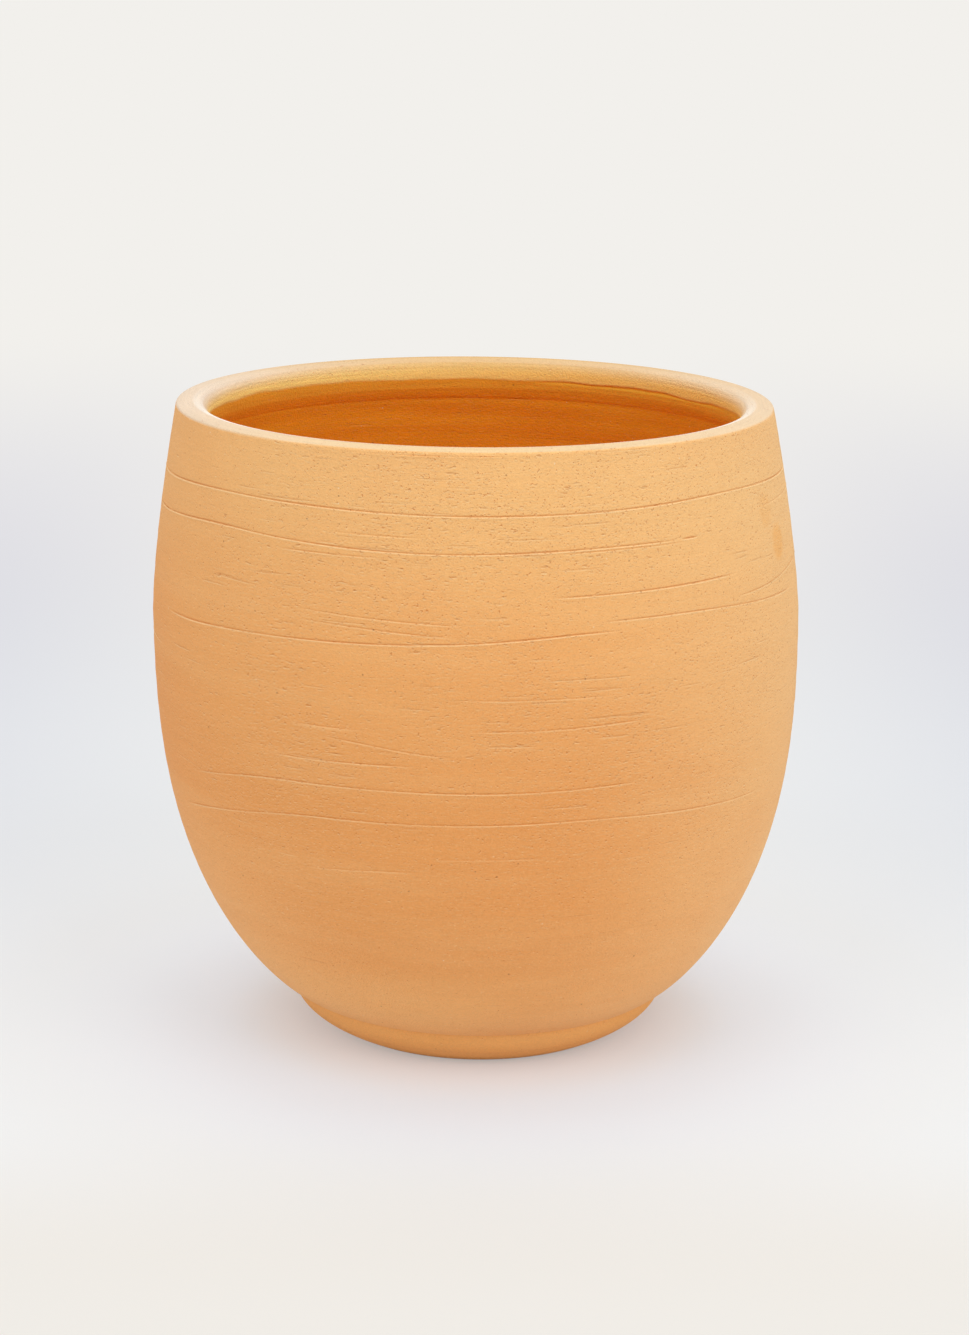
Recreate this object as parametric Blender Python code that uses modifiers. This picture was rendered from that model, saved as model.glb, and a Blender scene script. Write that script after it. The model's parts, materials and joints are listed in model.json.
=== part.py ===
# Terracotta flower pot: a footed, barrel-bellied pot with a thick rolled lip and a drain hole.
#
# The pot is modelled the way it is put together in damp clay: a foot ring, a floor slab, three thrown wall
# sections and a rolled lip. Neighbouring sections are parted by a hairline seam. The wall sections are keyed:
# each has a raised ridge along its top edge, and the section above has the groove that fits over it.
#
# Metres, +Z up. The origin is the centre of the foot, on the ground.

import math

import bpy
from mathutils import Vector

# Outline of the outside, at the widest part and at the lip
BELLY_RADIUS = 0.140
BELLY_HEIGHT = 0.1865
LIP_RADIUS = 0.128
LOWER_FULLNESS = 2.64
LOWER_ROUNDNESS = 0.765
SHOULDER_BEND = 1.40

# Foot: it narrows to the ground in a rounded bevel
FOOT_TOP_RADIUS = 0.082
FOOT_GROUND_RADIUS = 0.0635
FOOT_BEVEL_POWER = 2.1
FOOT_FACE_WIDTH = 0.0125
FOOT_INNER_BEVEL = 0.002
FOOT_RING_HEIGHT = 0.0075

# Floor slab and drain hole
FLOOR_THICKNESS = 0.010
DRAIN_RADIUS = 0.011
DRAIN_BEVEL = 0.0015

# Wall: its thickness, and the height of each thrown section
WALL_THICKNESS = 0.011
LOWER_WALL_HEIGHT = 0.074
BELLY_WALL_HEIGHT = 0.088
SHOULDER_WALL_HEIGHT = 0.083
HEEL_RADIUS = 0.056
HEEL_EDGE = 0.0012

# Lip: a bead thicker than the wall, with a domed top and an undercut inner edge
LIP_HEIGHT = 0.0111
LIP_WIDTH = 0.0144
LIP_DOME = 0.0021
LIP_INNER_DROP = 0.0072
LIP_EDGE_ROUND = 0.0015
LIP_FADE = 0.022

# Joints between sections
SEAM = 0.0003
RIDGE = 0.004

# How finely round shapes are divided. The lowest section's steps crowd towards its sharply curved bottom.
TURN_STEPS = 64
WALL_STEPS = 7
LOWER_CROWDING = 1.5
BEVEL_STEPS = 4
DOME_STEPS = 8
SHARP_ANGLE = math.radians(32)

# Heights of the seams, each the top of one section, and of the open floor inside the pot
FLOOR_BOTTOM = FOOT_RING_HEIGHT + SEAM
FLOOR_TOP = FLOOR_BOTTOM + FLOOR_THICKNESS
WALL_BOTTOM = FLOOR_TOP + SEAM
OPEN_FLOOR = WALL_BOTTOM + HEEL_EDGE
LOWER_TOP = WALL_BOTTOM + LOWER_WALL_HEIGHT
BELLY_TOP = LOWER_TOP + SEAM + BELLY_WALL_HEIGHT
SHOULDER_TOP = BELLY_TOP + SEAM + SHOULDER_WALL_HEIGHT
LIP_EDGE = SHOULDER_TOP + SEAM + LIP_HEIGHT

# Fired earthenware, as linear colour
CLAY_COLOUR = (0.80, 0.42, 0.16, 1.0)
CLAY_ROUGHNESS = 0.88


def clear_scene():
    for old in list(bpy.data.objects):
        bpy.data.objects.remove(old, do_unlink=True)


def outer_radius(z):
    """Radius of the outside at height z, from the foot's top to the lip's outer edge."""
    if z < BELLY_HEIGHT:
        down = (BELLY_HEIGHT - z) / (BELLY_HEIGHT - WALL_BOTTOM)
        swell = max(0.0, 1.0 - down ** LOWER_FULLNESS) ** LOWER_ROUNDNESS
        return FOOT_TOP_RADIUS + (BELLY_RADIUS - FOOT_TOP_RADIUS) * swell
    up = (z - BELLY_HEIGHT) / (LIP_EDGE - BELLY_HEIGHT)
    return BELLY_RADIUS - (BELLY_RADIUS - LIP_RADIUS) * up ** SHOULDER_BEND


def foot_radius(z):
    """Radius of the foot's rounded side at height z, from the ground to the crease under the wall."""
    below = 1.0 - z / FLOOR_TOP
    return FOOT_TOP_RADIUS - (FOOT_TOP_RADIUS - FOOT_GROUND_RADIUS) * below ** FOOT_BEVEL_POWER


def outside(z):
    return Vector((outer_radius(z), z))


def wall_direction(z):
    """Unit vector up along the wall at height z."""
    reach = 0.0005
    low = max(z - reach, WALL_BOTTOM)
    high = min(z + reach, LIP_EDGE)
    return (outside(high) - outside(low)).normalized()


def wall_thickness(z):
    """The wall thickens smoothly into the lip over the last stretch below it."""
    start = LIP_EDGE - LIP_INNER_DROP - LIP_FADE
    share = min(max((z - start) / LIP_FADE, 0.0), 1.0)
    return WALL_THICKNESS + (LIP_WIDTH - WALL_THICKNESS) * share * share * (3.0 - 2.0 * share)


def inside(z):
    """The point inside the wall that faces the outside point at height z."""
    along = wall_direction(z)
    inward = Vector((-along.y, along.x))
    return outside(z) + inward * wall_thickness(z)


def spread(first, last, count):
    return [first + (last - first) * step / count for step in range(count + 1)]


def keyed_edge(z):
    """Outer corner, ridge and inner corner of a joint between two sections, at height z."""
    middle = (outside(z) + inside(z)) / 2.0
    return [outside(z), middle + wall_direction(z) * RIDGE, inside(z)]


def curve_between(start, control, end, count):
    """Points of a smooth bend from start to end, pulled towards the control point."""
    points = []
    for t in spread(0.0, 1.0, count):
        points.append(start * (1 - t) ** 2 + control * 2 * t * (1 - t) + end * t ** 2)
    return points


def foot_ring_profile():
    face_inner = FOOT_GROUND_RADIUS - FOOT_FACE_WIDTH
    side = [Vector((foot_radius(z), z)) for z in spread(FOOT_RING_HEIGHT, 0.0, BEVEL_STEPS)]
    bore = face_inner - FOOT_INNER_BEVEL
    return side + [
        Vector((face_inner, 0.0)),
        Vector((bore, FOOT_INNER_BEVEL)),
        Vector((bore, FOOT_RING_HEIGHT)),
    ]


def floor_profile():
    """The slab under the pot. Inside the heel it is raised, flush with the edge where the heel fades out."""
    raised_radius = HEEL_RADIUS - SEAM
    side = [Vector((foot_radius(z), z)) for z in spread(FLOOR_TOP, FLOOR_BOTTOM, BEVEL_STEPS)]
    return side + [
        Vector((DRAIN_RADIUS + DRAIN_BEVEL, FLOOR_BOTTOM)),
        Vector((DRAIN_RADIUS, FLOOR_BOTTOM + DRAIN_BEVEL)),
        Vector((DRAIN_RADIUS, OPEN_FLOOR - DRAIN_BEVEL)),
        Vector((DRAIN_RADIUS + DRAIN_BEVEL, OPEN_FLOOR)),
        Vector((raised_radius, OPEN_FLOOR)),
        Vector((raised_radius, FLOOR_TOP)),
    ]


def lower_wall_profile():
    """The lowest section. Its inside runs down into a heel that fades out on the floor."""
    heights = [WALL_BOTTOM + LOWER_WALL_HEIGHT * share ** LOWER_CROWDING
               for share in spread(1.0, 0.0, WALL_STEPS)]
    outer = [outside(z) for z in heights]
    bend_height = heights[-3]
    inner_start = inside(bend_height)
    heel_end = Vector((HEEL_RADIUS, OPEN_FLOOR))
    slope = wall_direction(bend_height)
    run = (inner_start.y - heel_end.y) / slope.y
    corner = Vector((inner_start.x - slope.x * run, heel_end.y))
    heel = curve_between(heel_end, corner, inner_start, BEVEL_STEPS)
    inner = [inside(z) for z in reversed(heights[1:-3])]
    ridge = list(reversed(keyed_edge(LOWER_TOP)))
    return outer + [Vector((HEEL_RADIUS, WALL_BOTTOM))] + heel + inner + ridge[:2]


def wall_profile(bottom, top):
    """A wall section between two keyed joints."""
    heights = spread(top, bottom, WALL_STEPS)
    outer = [outside(z) for z in heights[:-1]]
    inner = [inside(z) for z in reversed(heights[1:-1])]
    ridge = list(reversed(keyed_edge(top)))
    return outer + keyed_edge(bottom) + inner + ridge[:2]


def lip_profile():
    """The rolled rim: outer edge, domed top, rounded inner edge and undercut, above a keyed joint."""
    seat = SHOULDER_TOP + SEAM
    inner_radius = LIP_RADIUS - LIP_WIDTH
    inner_bottom = LIP_EDGE - LIP_INNER_DROP
    dome = []
    for turn in spread(0.0, math.pi, DOME_STEPS):
        across = (1.0 - math.cos(turn)) / 2.0 * (LIP_WIDTH - LIP_EDGE_ROUND)
        dome.append(Vector((LIP_RADIUS - across, LIP_EDGE + LIP_DOME * math.sin(turn))))
    inner_edge = [
        Vector((inner_radius, LIP_EDGE - LIP_EDGE_ROUND)),
        Vector((inner_radius, inner_bottom)),
    ]
    return keyed_edge(seat) + list(reversed(dome + inner_edge))


def clay_material():
    clay = bpy.data.materials.new("terracotta")
    clay.use_nodes = True
    shader = clay.node_tree.nodes["Principled BSDF"]
    shader.inputs["Base Color"].default_value = CLAY_COLOUR
    shader.inputs["Roughness"].default_value = CLAY_ROUGHNESS
    shader.inputs["Metallic"].default_value = 0.0
    return clay


def turned(name, profile, collection):
    """A closed outline of (radius, height) points, turned once round the pot's axis."""
    mesh = bpy.data.meshes.new(name)
    points = [(point.x, 0.0, point.y) for point in profile]
    edges = [(index, (index + 1) % len(points)) for index in range(len(points))]
    mesh.from_pydata(points, edges, [])
    section = bpy.data.objects.new(name, mesh)
    collection.objects.link(section)
    screw = section.modifiers.new("turn", "SCREW")
    screw.axis = "Z"
    screw.angle = math.tau
    screw.steps = TURN_STEPS
    screw.render_steps = TURN_STEPS
    screw.use_merge_vertices = True
    screw.merge_threshold = 0.0001
    bpy.context.view_layer.update()
    ready = section.evaluated_get(bpy.context.evaluated_depsgraph_get())
    section.data = bpy.data.meshes.new_from_object(ready)
    section.modifiers.clear()
    section.data.shade_smooth()
    section.data.set_sharp_from_angle(angle=SHARP_ANGLE)
    return section


def main():
    clear_scene()
    parts = bpy.data.collections.new("terracotta_flower_pot")
    bpy.context.scene.collection.children.link(parts)
    clay = clay_material()
    sections = {
        "foot_ring": foot_ring_profile(),
        "floor_disc": floor_profile(),
        "lower_wall": lower_wall_profile(),
        "belly_wall": wall_profile(LOWER_TOP + SEAM, BELLY_TOP),
        "shoulder_wall": wall_profile(BELLY_TOP + SEAM, SHOULDER_TOP),
        "lip": lip_profile(),
    }
    for name, profile in sections.items():
        section = turned(name, profile, parts)
        section.data.materials.append(clay)


main()
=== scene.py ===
# %% [markdown]
# A terracotta flower pot, thrown on a wheel
#
# The real pot is one body of fired clay. A potter still makes it in stages: a foot, a floor, a wall that
# is pulled up in three reaches, and a lip that is folded over and rounded. Each stage is one piece in
# this lesson, and it takes the place of the plain solid with the same job. The pieces meet edge to edge
# with no gap, so the clay looks whole, and each one can have enough rows of faces to carry the lines that
# the wheel left. The first cell loads those plain solids as a fixed frame. All sizes are metres, with Z
# up.

# %% Load the fixed frame
import json
import math

import bmesh
import bpy
import numpy as np
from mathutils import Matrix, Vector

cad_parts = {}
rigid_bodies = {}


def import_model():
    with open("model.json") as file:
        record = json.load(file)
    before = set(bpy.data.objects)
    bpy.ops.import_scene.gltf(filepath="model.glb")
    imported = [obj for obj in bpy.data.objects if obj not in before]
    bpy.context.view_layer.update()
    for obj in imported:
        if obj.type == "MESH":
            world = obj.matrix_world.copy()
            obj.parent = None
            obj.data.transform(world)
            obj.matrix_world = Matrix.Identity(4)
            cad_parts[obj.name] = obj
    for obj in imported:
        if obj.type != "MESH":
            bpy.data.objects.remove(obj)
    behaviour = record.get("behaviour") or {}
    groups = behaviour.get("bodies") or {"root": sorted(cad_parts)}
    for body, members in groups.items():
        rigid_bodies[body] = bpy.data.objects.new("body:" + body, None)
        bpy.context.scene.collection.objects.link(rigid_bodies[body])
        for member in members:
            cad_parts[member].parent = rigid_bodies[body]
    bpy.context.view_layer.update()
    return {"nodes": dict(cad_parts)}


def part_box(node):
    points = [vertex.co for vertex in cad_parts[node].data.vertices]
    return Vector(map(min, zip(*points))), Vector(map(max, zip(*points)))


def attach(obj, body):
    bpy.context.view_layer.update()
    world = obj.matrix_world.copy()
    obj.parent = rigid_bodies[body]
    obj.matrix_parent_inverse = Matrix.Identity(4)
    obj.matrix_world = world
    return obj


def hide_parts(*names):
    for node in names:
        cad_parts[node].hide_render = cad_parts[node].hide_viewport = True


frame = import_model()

MM = 0.001
print("solids:", ", ".join(sorted(frame["nodes"])))

# %% [markdown]
# The outline of the pot
#
# A turned shape is known once its outline is known: how far the clay stands from the axis at each height.
# It could be drawn point by point, but a barrel like this follows two simple curves, one from the foot up
# to the belly and one from the belly up to the lip. A formula has no bumps of its own, so the only
# unevenness on the finished wall is what the next cells put there on purpose. The numbers are those of
# the solids.

# %% Sizes of the outline
BELLY_RADIUS, BELLY_HEIGHT = 0.140, 0.1865
FOOT_TOP_RADIUS, FOOT_TOP = 0.082, 0.01795
FOOT_GROUND_RADIUS, FOOT_BEVEL_POWER = 0.0635, 2.1
LIP_RADIUS, LIP_EDGE, LIP_HEIGHT = 0.128, 0.2751, 0.0111
LOWER_FULLNESS, LOWER_ROUNDNESS, SHOULDER_BEND = 2.64, 0.765, 1.40
WALL_THICKNESS, LIP_WIDTH, LIP_FADE, LIP_INNER_DROP = 0.011, 0.0144, 0.022, 0.0072
# The crease over the foot is filled a little: how far out, and how fast that fades upwards and downwards
CREASE_FILLET, FILLET_UP, FILLET_DOWN = 0.6 * MM, 0.8 * MM, 1.5 * MM
print("belly and lip across in mm:", 2 * BELLY_RADIUS / MM, 2 * LIP_RADIUS / MM)

# %% Where the pieces meet
# Each joint is in the middle of the hairline seam between two solids
HALF_SEAM = 0.15 * MM
FOOT_RING_TOP = (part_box("foot_ring")[1].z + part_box("floor_disc")[0].z) / 2
LOWER_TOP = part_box("belly_wall")[0].z - HALF_SEAM
BELLY_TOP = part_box("shoulder_wall")[0].z - HALF_SEAM
SHOULDER_TOP = LIP_EDGE - LIP_HEIGHT - HALF_SEAM
OPEN_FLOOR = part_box("floor_disc")[1].z
joints = (FOOT_RING_TOP, FOOT_TOP, LOWER_TOP, BELLY_TOP, SHOULDER_TOP)
print("joints at mm:", [round(height / MM, 2) for height in joints])


# %% Helpers for curves
def ramp(value, start, full):
    """Rises evenly from 0 at the start to 1 where it is full, which may also lie below the start."""
    return np.clip((value - start) / (full - start), 0.0, 1.0)


def soften(share):
    """Turns an even rise from 0 to 1 into one that starts and ends softly."""
    return share * share * (3.0 - 2.0 * share)


def hump(value, middle, width):
    """A smooth hump over the values, 1 at its middle."""
    return np.exp(-((value - middle) / width) ** 2)


def curve_points(radius_of, heights):
    """(radius, height) points of a curve at the given heights."""
    return np.stack([radius_of(heights), heights], axis=1)


def level_points(start, end, height, count):
    """(radius, height) points on a flat face, from one radius to another."""
    return np.stack([np.linspace(start, end, count), np.full(count, height)], axis=1)


print("halfway up a soft rise:", soften(ramp(0.5, 0.0, 1.0)))


# %% Radius of the outside at each height
def outer_radius(z):
    """The wall's radius at height z, for one height or an array of heights."""
    z = np.asarray(z, float)
    swell = (1.0 - ramp(z, BELLY_HEIGHT, FOOT_TOP) ** LOWER_FULLNESS) ** LOWER_ROUNDNESS
    lower = FOOT_TOP_RADIUS + (BELLY_RADIUS - FOOT_TOP_RADIUS) * swell
    lower = lower + CREASE_FILLET * np.exp((FOOT_TOP - z) / FILLET_UP)
    # The upper curve may run on a little past the lip's edge
    up = np.clip((z - BELLY_HEIGHT) / (LIP_EDGE - BELLY_HEIGHT), 0.0, 1.1)
    upper = BELLY_RADIUS - (BELLY_RADIUS - LIP_RADIUS) * up ** SHOULDER_BEND
    return np.where(z < BELLY_HEIGHT, lower, upper)


def foot_radius(z):
    """The foot's radius at height z. It narrows to the ground in a rounded bevel."""
    z = np.asarray(z, float)
    bevel = (FOOT_TOP_RADIUS - FOOT_GROUND_RADIUS) * ramp(z, FOOT_TOP, 0.0) ** FOOT_BEVEL_POWER
    return FOOT_TOP_RADIUS - bevel + CREASE_FILLET * np.exp((z - FOOT_TOP) / FILLET_DOWN)


print("belly radius in mm:", float(outer_radius(BELLY_HEIGHT)) / MM)


# %% The inside of the wall
SLOPE_REACH = 0.5 * MM


def inside(z):
    """The (radius, height) of the inner surface opposite the outer point at height z."""
    low, high = np.maximum(z - SLOPE_REACH, FOOT_TOP), np.minimum(z + SLOPE_REACH, LIP_EDGE)
    along = np.stack([outer_radius(high) - outer_radius(low), high - low])
    along = along / np.hypot(*along)
    thickest = LIP_EDGE - LIP_INNER_DROP
    thicker = soften(ramp(z, thickest - LIP_FADE, thickest))
    thickness = WALL_THICKNESS + (LIP_WIDTH - WALL_THICKNESS) * thicker
    return np.stack([outer_radius(z) - along[1] * thickness, z + along[0] * thickness], axis=-1)


print("inner edge of the top joint in mm:", inside(np.array([SHOULDER_TOP]))[0] / MM)

# %% [markdown]
# Lines that the wheel left
#
# While the pot turns, a grain of grit under the potter's tool scores a fine line into the wall. The real
# pot has about nineteen that catch the light: most run level, some climb, and each one fades in and out.
# They are real grooves, and a small burr under each shades by itself from every side; the material also
# paints shade in each cut and a highlight on each burr.
# Each line below has a home height, a path of (degrees from the front, height in mm), and strokes of
# (from, to, depth in mm) that say where it is cut. The strokes on the back are made up in the same
# manner.

# %% The wheel lines
WHEEL_LINES = (
    (104.0, ((-77, 98.0), (-27, 102.8), (-14, 105.6), (20, 105.0), (180, 103.0)),
     ((-33, -9, 0.10), (118, 190, 0.13))),
    (112.0, ((-77, 102.5), (-30, 111.0), (1, 112.2), (120, 113.5), (180, 112.6)),
     ((-9, 14, 0.08), (205, 262, 0.10))),
    (126.0, ((-77, 108.0), (-32, 125.6), (-14, 126.7), (1, 127.2), (21, 128.2), (55, 123.8), (120, 125.0),
             (180, 124.0)), ((-66, 62, 0.14), (100, 170, 0.12))),
    (140.0, ((-73, 125.0), (-38, 139.3), (-16, 140.6), (1, 140.6), (14, 141.2), (27, 142.1), (70, 140.0),
             (180, 137.5)), ((-60, 30, 0.15), (132, 246, 0.15))),
    (150.5, ((-34, 149.9), (-12, 151.4), (60, 150.4)), ((-38, -8, 0.14), (70, 98, 0.10))),
    (158.0, ((-25, 161.2), (-4, 155.2), (40, 156.8), (180, 158.6)), ((-27, -2, 0.14), (168, 214, 0.12))),
    (166.0, ((-31, 164.6), (-20, 164.8), (1, 166.7), (14, 166.7), (29, 168.2), (180, 166.0)),
     ((-33, -17, 0.12), (-2, 31, 0.14), (84, 128, 0.12))),
    (179.0, ((-10, 179.3), (25, 179.4), (180, 178.6)), ((-3, 24, 0.10), (216, 290, 0.14))),
    (200.5, ((-60, 195.8), (-43, 198.2), (-30, 199.3), (-14, 200.5), (1, 202.2), (11, 204.0), (22, 205.5),
             (40, 203.5), (70, 200.0), (180, 198.0)), ((-68, 26, 0.21), (140, 214, 0.15))),
    (204.5, ((-60, 205.5), (-30, 207.5), (-22, 206.8), (-15, 205.8), (-9, 205.0), (-4, 204.4), (11, 205.2),
             (22, 206.4), (40, 205.6), (70, 203.0), (180, 203.0)), ((-31, -3, 0.12), (88, 121, 0.11))),
    (208.0, ((-60, 209.6), (-30, 209.6), (-20, 208.9), (-9, 207.9), (0, 207.6), (23, 209.3), (41, 208.9),
             (66, 204.9), (100, 204.0), (180, 207.0)), ((20, 74, 0.17), (230, 262, 0.10))),
    (210.3, ((-60, 212.0), (-30, 211.8), (-24, 211.0), (-18, 210.4), (-9, 209.7), (-1, 208.8), (10, 209.8),
             (23, 210.6), (53, 208.9), (65, 208.4), (100, 208.5), (180, 210.0)),
     ((-32, 0, 0.11), (186, 228, 0.12))),
    (212.5, ((0, 212.6), (53, 210.6), (65, 211.6), (78, 214.5), (120, 213.0)),
     ((50, 96, 0.16), (150, 176, 0.10))),
    (220.0, ((14, 219.6), (29, 219.9), (48, 220.2), (180, 222.0)), ((12, 52, 0.23), (110, 188, 0.16))),
    (234.0, ((-77, 231.8), (-50, 233.8), (-35, 234.2), (-15, 234.4), (40, 234.4), (180, 233.5)),
     ((-37, -13, 0.13), (196, 232, 0.12))),
    (236.6, ((-77, 233.4), (-50, 237.2), (-31, 236.3), (-14, 235.6), (1, 235.8), (15, 236.6), (25, 237.1),
             (40, 236.9), (180, 236.2)), ((13, 41, 0.12), (96, 124, 0.10))),
    (238.2, ((-77, 235.0), (-50, 239.1), (-31, 237.8), (-14, 236.8), (1, 236.9), (15, 237.8), (25, 238.3),
             (40, 238.1), (180, 238.6)), ((-84, 38, 0.22), (38, 42, 0.34), (150, 228, 0.15))),
    (243.0, ((-24, 243.2), (-9, 242.8), (180, 244.0)), ((-27, -7, 0.09), (60, 104, 0.10))),
    (252.0, ((-76, 249.8), (-51, 252.4), (-31, 252.3), (-14, 251.8), (1, 251.6), (15, 251.8), (30, 252.5),
             (49, 253.7), (75, 251.9), (180, 251.0)), ((-90, 88, 0.23), (120, 236, 0.17))),
)
GROOVE_HALF_WIDTH = 0.29 * MM
GROOVE_ROWS = np.array([-1.1, -0.75, -0.52, -0.34, -0.17, 0.0, 0.16, 0.34, 0.58, 0.9]) * MM
print(len(WHEEL_LINES), "wheel lines,", sum(len(line[2]) for line in WHEEL_LINES), "strokes")


# %% Where a line runs
# A line's height is averaged over these degrees to both sides, which rounds its corners
CORNER_SHIFTS = (-6.0, -3.0, 0.0, 3.0, 6.0)


def line_height(line, degrees):
    """Height of a wheel line at each angle. It closes on itself behind the pot."""
    angles, heights = np.array(line[1], float).T
    near = [np.interp(degrees + shift, angles, heights, period=360.0) for shift in CORNER_SHIFTS]
    return np.mean(near, axis=0) * MM


print("first line at the front, in mm:", line_height(WHEEL_LINES[0], np.zeros(1)) / MM)


# %% How deep a line is
# A stroke fades over so many degrees at each end, and a short one over its length divided by the second
# number
STROKE_FADE, SHORT_STROKE_PART = 7.0, 2.5
# The depth wavers on its way: (its level, how far it swings, waves in a turn)
WAVER_LEVEL, WAVER_REACH, WAVES_IN_A_TURN = 1.45, 0.30, 11.0


def window(degrees, start, end, fade):
    """1 between two angles and 0 elsewhere, with even ends."""
    along = (degrees - start) % 360.0
    return ramp(np.minimum(along, end - start - along), 0.0, fade)


def stroke_depth(line, degrees):
    """Depth of a wheel line at each angle, where its strokes cut it."""
    depth = np.zeros_like(degrees)
    waver = WAVER_LEVEL + WAVER_REACH * np.sin(np.radians(degrees) * WAVES_IN_A_TURN + line[0])
    for start, end, deepest in line[2]:
        fade = min(STROKE_FADE, (end - start) / SHORT_STROKE_PART)
        depth = np.maximum(depth, deepest * MM * soften(window(degrees, start, end, fade)) * waver)
    return depth


print("deepest stroke in mm:", max(stroke[2] for line in WHEEL_LINES for stroke in line[2]))


# %% The cut and its burr
# Middle and width, in half widths of the groove, of the burr, and of the painted shade in the cut and the
# painted highlight under it, across a line
BURR_HUMP, SHADE_HUMP, HIGHLIGHT_HUMP = (-1.9, 0.8), (0.3, 0.8), (-1.5, 0.8)
BURR_SHARE, FULL_TONE_DEPTH = 0.60, 0.22 * MM


def score(degrees, height):
    """How far the lines move the outside, and a tone: above 0 for painted shade in the cut, below 0 for a
    painted highlight on the burr under it.
    """
    move, tone = np.zeros_like(height), np.zeros_like(height)
    for line in WHEEL_LINES:
        off = (height - line_height(line, degrees)) / GROOVE_HALF_WIDTH
        depth = stroke_depth(line, degrees)
        move += depth * (BURR_SHARE * hump(off, *BURR_HUMP) - hump(off, 0.0, 1.0))
        tone += (hump(off, *SHADE_HUMP) - hump(off, *HIGHLIGHT_HUMP)) * depth / FULL_TONE_DEPTH
    return move, np.clip(tone, -1.0, 1.0)


front = np.zeros(1)
print("the top line's cut in front, in mm:", -score(front, line_height(WHEEL_LINES[-1], front))[0] / MM)

# %% [markdown]
# Rings from the fingers, and a pot that isn't quite true
#
# Fingers pull the wall up in a slow spiral, which leaves soft rings: very shallow on the scraped outside
# and deeper inside, where no tool smooths them. Fired clay also dries a little out of round, and this pot
# leans about 4 mm to the left by the time it reaches the lip. Sums of sines with whole turns round the
# pot make all of this, so the shape closes on itself behind, and neighbouring pieces agree along their
# shared edge.

# %% Rings outside, and the lean
LEAN_AT_LIP = 3.72 * MM
LEAN = LEAN_AT_LIP / LIP_EDGE


def spiral(turn, along, depth, gap, start=0.0, arms=1):
    """Rings that wind round the axis, with a depth and a gap. Each arm meets the next one after a turn."""
    return depth * np.sin(math.tau * along / gap - arms * turn + start)


def come_and_go(phase, share):
    """Swings between 1 and as much below it as twice the share."""
    return 1.0 - share + share * np.sin(phase)


def outer_rings(turn, height):
    """How far the soft rings and the drying move the outside, in metres. Turn is in radians."""
    level = height / MM
    rings = spiral(turn, level, depth=0.055, gap=12.5, start=1.3) * come_and_go(2 * turn + level / 37, 0.4)
    rings += spiral(turn, level, depth=0.030, gap=6.7, start=0.4) * come_and_go(turn - level / 23, 0.5)
    out_of_round = 0.22 * np.sin(2 * turn + 0.7) + 0.10 * np.sin(3 * turn + 2.1)
    return (rings + out_of_round * level / 275) * MM


print("lean in degrees:", round(math.degrees(math.atan(LEAN)), 2))

# %% Rings inside
# Near the rim the fingers left one wide hollow band with a line in it, as (height, how far it goes
# outwards) in mm
RIM_BAND = ((232.0, 0.0), (246.0, -0.55), (257.9, 0.75), (258.5, 0.45), (262.4, 0.05), (263.0, -0.12),
            (268.0, 0.0))


def inner_rings(turn, height):
    """How far the rings move the inside of the wall, in metres. They fade out at floor and rim."""
    level = height / MM
    rings = spiral(turn, level, depth=0.34, gap=10.6, start=0.9) * come_and_go(turn + level / 31, 0.25)
    rings += spiral(turn, level, depth=0.12, gap=4.3, start=2.2, arms=2)
    rings *= ramp(level, 26, 56) * np.maximum(ramp(level, 266, 236), 0.25) * ramp(level, 268, 260)
    band = np.interp(level - 0.5 * np.sin(turn + 0.5) - 0.5, *np.array(RIM_BAND).T)
    return (rings + band) * MM


print("the band near the rim lies between mm:", RIM_BAND[0][0], RIM_BAND[-1][0])

# %% [markdown]
# Drawing an outline by hand
#
# Each piece starts as a plane that is merged to one vertex. That vertex is extruded from point to point
# until it has drawn the outline, and the ends are joined. Then the outline is carried once round the
# axis. Spin can do that, but it extrudes one step at a time and is slow with hundreds of steps. A Screw
# modifier with no rise makes the same rings at once, and applying it leaves a plain mesh, whose vertices
# the next cells can move.

# %% Draw an outline
def select_nothing():
    for thing in bpy.context.view_layer.objects:
        thing.select_set(False)


def draw_outline(name, points):
    """A closed outline of (radius, height) points, drawn in the XZ plane by extruding a vertex."""
    select_nothing()
    bpy.ops.mesh.primitive_plane_add(size=MM, location=(points[0][0], 0.0, points[0][1]))
    piece = bpy.context.object
    piece.name = piece.data.name = name
    bpy.ops.object.transform_apply(location=True, rotation=True, scale=True)
    bpy.ops.object.mode_set(mode="EDIT")
    bpy.ops.mesh.select_mode(type="VERT")
    bpy.ops.mesh.select_all(action="SELECT")
    bpy.ops.mesh.merge(type="CENTER")
    for here, there in zip(points, points[1:]):
        step = (there[0] - here[0], 0.0, there[1] - here[1])
        bpy.ops.mesh.extrude_vertices_move(TRANSFORM_OT_translate={"value": step})
    drawn = bmesh.from_edit_mesh(piece.data)
    for vertex in drawn.verts:
        vertex.select = len(vertex.link_edges) == 1
    bmesh.update_edit_mesh(piece.data)
    bpy.ops.mesh.edge_face_add()
    bpy.ops.object.mode_set(mode="OBJECT")
    print(name, "is drawn with", len(points), "points")
    return piece


# %% Turn an outline
TURN_STEPS, MERGE_REACH = 480, 0.01 * MM


def turn_outline(piece):
    """Carries the outline once round the axis, closes it up and turns its faces outwards."""
    turning = piece.modifiers.new("turn", "SCREW")
    turning.axis, turning.angle = "Z", math.tau
    turning.steps = turning.render_steps = TURN_STEPS
    turning.use_merge_vertices, turning.merge_threshold = True, MERGE_REACH
    bpy.ops.object.modifier_apply(modifier=turning.name)
    bpy.ops.object.mode_set(mode="EDIT")
    bpy.ops.mesh.select_all(action="SELECT")
    bpy.ops.mesh.remove_doubles(threshold=MERGE_REACH)
    bpy.ops.mesh.normals_make_consistent(inside=False)
    bpy.ops.object.mode_set(mode="OBJECT")
    print(piece.name, "has", len(piece.data.polygons), "faces")
    return piece
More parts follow.
